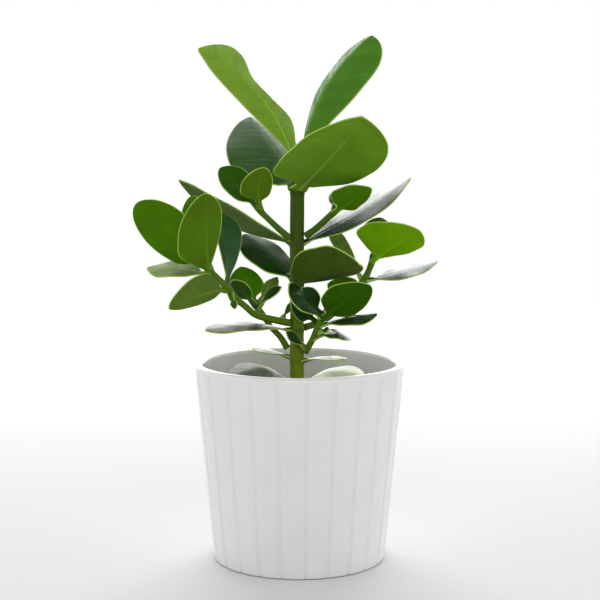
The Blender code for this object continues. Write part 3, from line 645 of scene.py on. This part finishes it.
def stem_material(name, low, high, ring, z_low, z_high):
    """Green bark: colour runs from low to high up the stem, with fine lengthwise streaks and dark node rings."""
    mat, tree, shader = new_material(name)
    place = put(tree, "ShaderNodeTexCoord").outputs["Object"]
    height = put(tree, "ShaderNodeSeparateXYZ", {0: place}).outputs["Z"]
    colour = blend_colours(tree, span(tree, height, z_low * MM, z_high * MM), srgb(*low), srgb(*high))
    grain = put(tree, "ShaderNodeAttribute", attribute_name="grain").outputs["Vector"]
    long_grain = put(tree, "ShaderNodeVectorMath", {0: grain, 1: (9.0, 1.4, 9.0)}, operation="MULTIPLY").outputs[0]
    streak = put(tree, "ShaderNodeTexNoise", {"Vector": long_grain, "Scale": 6.0, "Detail": 3.0}).outputs["Fac"]
    shade = calc(tree, "MULTIPLY_ADD", streak, 0.6, 0.7)
    colour = put(tree, "ShaderNodeVectorMath", {0: colour, "Scale": shade}, operation="SCALE").outputs[0]
    knot = put(tree, "ShaderNodeAttribute", attribute_name="ring").outputs["Fac"]
    colour = blend_colours(tree, calc(tree, "MULTIPLY", knot, 0.6), colour, srgb(*ring))
    tree.links.new(colour, shader.inputs["Base Color"])
    shader.inputs["Roughness"].default_value = 0.48
    shader.inputs["Specular IOR Level"].default_value = 0.15
    bump = put(tree, "ShaderNodeBump", {"Height": streak, "Strength": 0.4, "Distance": 0.0006})
    tree.links.new(bump.outputs["Normal"], shader.inputs["Normal"])
    return mat


def make_shoot(name, points, radii, rings, mat, sides):
    skin, run, swell = tube(points, radii, 8, sides, rings)
    mesh_points, polygons = closed_tube(skin)
    obj = add_mesh(name + "_bark", mesh_points, polygons, mat)
    rows, count = skin.shape[:2]
    girth = np.broadcast_to(np.arange(count) * 30.0 / count, (rows, count))
    length = np.broadcast_to(run[:, None], (rows, count))
    spots = np.stack([girth, length, 0 * length], -1).reshape(-1, 3) / 100
    add_vectors(obj.data, "grain", np.concatenate([spots, spots[:1], spots[-1:]]))
    knots = np.broadcast_to((swell / 0.5)[:, None], (rows, count)).ravel()
    add_values(obj.data, "ring", np.concatenate([knots, knots[:1], knots[-1:]]))
    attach(obj, "root")
    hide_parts(name)
    return obj


# Pots

GROOVES = 24
GROOVE_TURN = 3.6
POT_TOP_R = 71.4
POT_FOOT_R = 58.9
WALL_TOP = 132.0


def wall_radius(z):
    return POT_FOOT_R + (POT_TOP_R - POT_FOOT_R) * z / WALL_TOP


def arc(centre, reach, first, last, steps):
    """Points (radius, height) on an ellipse arc between two angles in degrees."""
    turn = np.radians(np.linspace(first, last, steps))
    return np.column_stack([centre[0] + reach[0] * np.cos(turn), centre[1] + reach[1] * np.sin(turn)])


def line(a, b, steps):
    share = np.linspace(0, 1, steps)[:, None]
    return np.array(a, float) * (1 - share) + np.array(b, float) * share


def lathe(profile, steps, relief=None):
    """Surface of revolution; relief(turn, z) is taken off the radius. The first and last points are poles."""
    turn = np.arange(steps) * 2 * math.pi / steps
    radius = np.broadcast_to(profile[1:-1, 0][:, None], (len(profile) - 2, steps)).copy()
    height = np.broadcast_to(profile[1:-1, 1][:, None], radius.shape)
    if relief is not None:
        radius = radius - relief(turn[None], height, radius)
    skin = np.stack([radius * np.cos(turn), radius * np.sin(turn), height], -1)
    points, polygons = closed_tube(skin)
    points[-2] = (0, 0, profile[0, 1])
    points[-1] = (0, 0, profile[-1, 1])
    return points, polygons


def groove_depth(turn, height, radius):
    """Depth of the nearest groove: a rounded V, fading out under the rim; none on the inner wall."""
    step = 2 * math.pi / GROOVES
    start = math.radians(-90 + GROOVE_TURN)
    away = (turn - start + step / 2) % step - step / 2
    off = np.abs(away) * radius
    shape = 1 - smooth_step(off, 0.1, 1.7)
    outside = radius > wall_radius(np.clip(height, 0, WALL_TOP)) - 2.8
    return 0.9 * shape * outside * (1 - smooth_step(height, WALL_TOP - 1.8, WALL_TOP + 1.4))


def glaze_material():
    """White glaze with a faint orange peel, and a brown band at the foot that is both the bare unglazed body and a
    painted contact shadow.
    """
    mat, tree, shader = new_material("white_glaze")
    place = put(tree, "ShaderNodeTexCoord").outputs["Object"]
    height = put(tree, "ShaderNodeSeparateXYZ", {0: place}).outputs["Z"]
    cloud = put(tree, "ShaderNodeTexNoise", {"Vector": place, "Scale": 30.0, "Detail": 3.0}).outputs["Fac"]
    white = blend_colours(tree, cloud, srgb(228, 228, 228), srgb(238, 238, 237))
    # Foot band mask: bare unglazed body, and painted contact shadow where the pot meets the floor.
    foot_band_and_painted_shadow = calc(tree, "SUBTRACT", 1.0, span(tree, calc(tree, "ADD", height, calc(tree, "MULTIPLY", cloud, 0.0004)),
                                            0.0005, 0.0010))
    colour = blend_colours(tree, foot_band_and_painted_shadow, white, srgb(150, 128, 104))
    tree.links.new(colour, shader.inputs["Base Color"])
    rough = calc(tree, "MULTIPLY_ADD", foot_band_and_painted_shadow, 0.6, 0.14)
    tree.links.new(calc(tree, "ADD", rough, calc(tree, "MULTIPLY", cloud, 0.08)), shader.inputs["Roughness"])
    peel = put(tree, "ShaderNodeTexNoise", {"Vector": place, "Scale": 90.0, "Detail": 2.0}).outputs["Fac"]
    bump = put(tree, "ShaderNodeBump", {"Height": peel, "Strength": 0.06, "Distance": 0.001})
    tree.links.new(bump.outputs["Normal"], shader.inputs["Normal"])
    return mat


def make_pot():
    profile = np.concatenate([
        [(0, 0)], line((8, 0), (57.1, 0), 5), arc((57.2, 1.7), (1.8, 1.7), -80, 0, 6),
        line((wall_radius(2.4), 2.4), (wall_radius(130.6), 130.6), 40),
        arc((68.5, WALL_TOP), (2.9, 3.0), 0, 180, 20), line((65.4, 130), (56.3, 12.6), 16),
        arc((50.6, 11.6), (5.6, 5.6), 0, -90, 8), line((46, 6), (8, 6), 5), [(0, 6)],
    ])
    points, polygons = lathe(profile, GROOVES * 24, groove_depth)
    obj = add_mesh("pot_glazed", points, polygons, glaze_material())
    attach(obj, "root")
    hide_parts("pot")


def plastic_material():
    """Dark matt plastic with a fine moulded grain."""
    mat, tree, shader = new_material("growing_pot_plastic")
    place = put(tree, "ShaderNodeTexCoord").outputs["Object"]
    grain = put(tree, "ShaderNodeTexNoise", {"Vector": place, "Scale": 400.0, "Detail": 2.0}).outputs["Fac"]
    dust = put(tree, "ShaderNodeTexNoise", {"Vector": place, "Scale": 22.0, "Detail": 4.0}).outputs["Fac"]
    colour = blend_colours(tree, span(tree, dust, 0.5, 0.8), srgb(38, 36, 35), srgb(74, 64, 54))
    tree.links.new(colour, shader.inputs["Base Color"])
    shader.inputs["Roughness"].default_value = 0.52
    bump = put(tree, "ShaderNodeBump", {"Height": grain, "Strength": 0.25, "Distance": 0.0004})
    tree.links.new(bump.outputs["Normal"], shader.inputs["Normal"])
    return mat


def make_growing_pot():
    mat = plastic_material()
    node = frame["nodes"]["nursery_pot"]
    node.data.materials.clear()
    node.data.materials.append(mat)
    profile = np.concatenate([arc((57.2, 106.5), (2.35, 3.2), -90, 270, 41)])
    turn = np.arange(180) * 2 * math.pi / 180
    skin = np.stack([profile[:-1, 0][:, None] * np.cos(turn), profile[:-1, 0][:, None] * np.sin(turn),
                     np.broadcast_to(profile[:-1, 1][:, None], (40, 180))], -1)
    i, j = np.meshgrid(np.arange(40), np.arange(180), indexing="ij")
    down, right = (i + 1) % 40, (j + 1) % 180
    quads = np.stack([i * 180 + j, i * 180 + right, down * 180 + right, down * 180 + j], -1).reshape(-1, 4)
    obj = add_mesh("growing_pot_rim", skin.reshape(-1, 3), quads.tolist(), mat)
    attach(obj, "root")


# Growing medium

def lattice_noise(x, y, seed):
    """Smooth value noise on a unit lattice, from a fixed table of 64 by 64 numbers."""
    table = np.random.default_rng(seed).random((64, 64))
    i, j = np.floor(x).astype(int), np.floor(y).astype(int)
    f, g = x - i, y - j
    f, g = f * f * (3 - 2 * f), g * g * (3 - 2 * g)
    a, b = table[i % 64, j % 64], table[(i + 1) % 64, j % 64]
    c, d = table[i % 64, (j + 1) % 64], table[(i + 1) % 64, (j + 1) % 64]
    return (a * (1 - f) + b * f) * (1 - g) + (c * (1 - f) + d * f) * g


def medium_height(x, y):
    """Top of the medium: gentle mounds plus crumbs of about 5 mm and 2 mm."""
    mounds = 1.6 * lattice_noise(x / 16 + 9, y / 16 + 5, 3)
    crumbs = 1.5 * lattice_noise(x / 4.2 + 7, y / 4.2 + 2, 4) ** 2
    grit = 0.7 * lattice_noise(x / 1.7 + 3, y / 1.7 + 8, 5)
    return 99.1 + mounds + crumbs + grit


def medium_material():
    """Damp peat and bark: dark brown, lighter fibres, quite rough."""
    mat, tree, shader = new_material("potting_mix")
    place = put(tree, "ShaderNodeTexCoord").outputs["Object"]
    crumb = put(tree, "ShaderNodeTexNoise", {"Vector": place, "Scale": 260.0, "Detail": 5.0}).outputs["Fac"]
    patch = put(tree, "ShaderNodeTexVoronoi", {"Vector": place, "Scale": 230.0}).outputs["Distance"]
    colour = blend_colours(tree, span(tree, crumb, 0.35, 0.65), srgb(34, 24, 17), srgb(88, 64, 44))
    colour = blend_colours(tree, span(tree, patch, 0.5, 0.75), colour, srgb(20, 14, 10))
    tree.links.new(colour, shader.inputs["Base Color"])
    shader.inputs["Roughness"].default_value = 0.92
    bump = put(tree, "ShaderNodeBump", {"Height": crumb, "Strength": 0.8, "Distance": 0.0012})
    tree.links.new(bump.outputs["Normal"], shader.inputs["Normal"])
    return mat


def make_medium():
    turn = np.arange(240) * 2 * math.pi / 240
    rings = np.concatenate([[8, 24, 41.2], [42.2, 46, 50, 53.0], np.linspace(52.6, 1.2, 66)])
    low = np.concatenate([[8.4, 8.4, 8.4], [9.4, 40, 70, 99], np.full(66, np.nan)])
    x, y = rings[:, None] * np.cos(turn), rings[:, None] * np.sin(turn)
    height = np.where(np.isnan(low)[:, None], medium_height(x, y), np.nan_to_num(low)[:, None])
    points, polygons = closed_tube(np.stack([x, y, height], -1))
    obj = add_mesh("potting_mix_surface", points, polygons, medium_material())
    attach(obj, "root")
    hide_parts("growing_medium")


# Stage

def world():
    """Bright plain room: white to the eye, a little brighter behind the plant than before it."""
    room = bpy.data.worlds.new("room")
    room.use_nodes = True
    bpy.context.scene.world = room
    tree = room.node_tree
    tree.nodes.clear()
    way = put(tree, "ShaderNodeTexCoord").outputs["Generated"]
    parts = put(tree, "ShaderNodeSeparateXYZ", {0: way}).outputs
    level = span(tree, parts["Y"], -0.95, -0.15, 0.4, 1.2)
    level = calc(tree, "MULTIPLY", level, span(tree, parts["Z"], 0.5, 0.85, 1.0, 0.3))
    level = calc(tree, "MULTIPLY", level, span(tree, parts["Z"], -0.3, 0.3, 0.75, 1.0))
    light = put(tree, "ShaderNodeBackground", {"Color": srgb(254, 254, 252), "Strength": level})
    plain = put(tree, "ShaderNodeBackground", {"Color": srgb(255, 255, 255), "Strength": 1.0})
    seen = put(tree, "ShaderNodeLightPath").outputs["Is Camera Ray"]
    both = put(tree, "ShaderNodeMixShader", {0: seen, 1: light.outputs[0], 2: plain.outputs[0]})
    end = tree.nodes.new("ShaderNodeOutputWorld")
    tree.links.new(both.outputs[0], end.inputs["Surface"])


def area_light(name, at, target, size, power):
    data = bpy.data.lights.new(name, "AREA")
    data.shape = "RECTANGLE"
    data.size, data.size_y = size
    data.energy = power
    obj = bpy.data.objects.new(name, data)
    bpy.context.scene.collection.objects.link(obj)
    obj.location = at
    aim = Vector(target) - Vector(at)
    obj.rotation_euler = aim.to_track_quat("-Z", "Y").to_euler()


def floor():
    mat, tree, shader = new_material("pale_floor")
    shader.inputs["Base Color"].default_value = srgb(226, 226, 226)
    shader.inputs["Roughness"].default_value = 1.0
    shader.inputs["Specular IOR Level"].default_value = 0.0
    bpy.ops.mesh.primitive_plane_add(size=4, location=(0, -0.5, 0))
    obj = bpy.context.object
    obj.name = "floor"
    obj.data.materials.append(mat)


def camera():
    data = bpy.data.cameras.new("camera")
    data.sensor_width = 36
    data.lens = 83.9
    obj = bpy.data.objects.new("camera", data)
    bpy.context.scene.collection.objects.link(obj)
    obj.location = (0.0005, -0.944, 0.2815)
    obj.rotation_euler = (math.radians(90 - 6.3), 0, 0)
    bpy.context.scene.camera = obj


STEM_RINGS = (((-1.5, 0, 119.5), 0.45), ((-1.5, 0, 136), 0.4), ((-1.5, 0, 156.5), 0.45), ((-1.5, 0, 188.5), 0.45),
              ((-1.5, 0, 214.5), 0.5), ((-1.2, 0, 251), 0.5), ((-1, 0, 268.5), 0.4))
BARK = stem_material("stem_bark", (104, 130, 12), (62, 90, 12), (44, 60, 14), 124, 218)
SHOOT_BARK = stem_material("shoot_bark", (88, 120, 12), (72, 106, 14), (52, 78, 14), 150, 225)

camera()
world()
floor()
area_light("window", (0, 1.5, 0.9), (0, 0, 0.2), (2.0, 1.4), 30)
area_light("room_fill", (0.1, -1.6, 1.1), (0, 0, 0.18), (1.6, 1.4), 10)
bpy.context.scene.view_settings.view_transform = "Standard"

make_pot()
make_growing_pot()
make_medium()
for shoot_name, (points, radii) in SHOOTS.items():
    if shoot_name == "main_stem":
        make_shoot(shoot_name, points, radii, STEM_RINGS, BARK, 40)
    else:
        make_shoot(shoot_name, points, radii, (), SHOOT_BARK, 24)
for number, (leaf_name, row) in enumerate(LEAVES.items()):
    make_leaf(leaf_name, row, number)
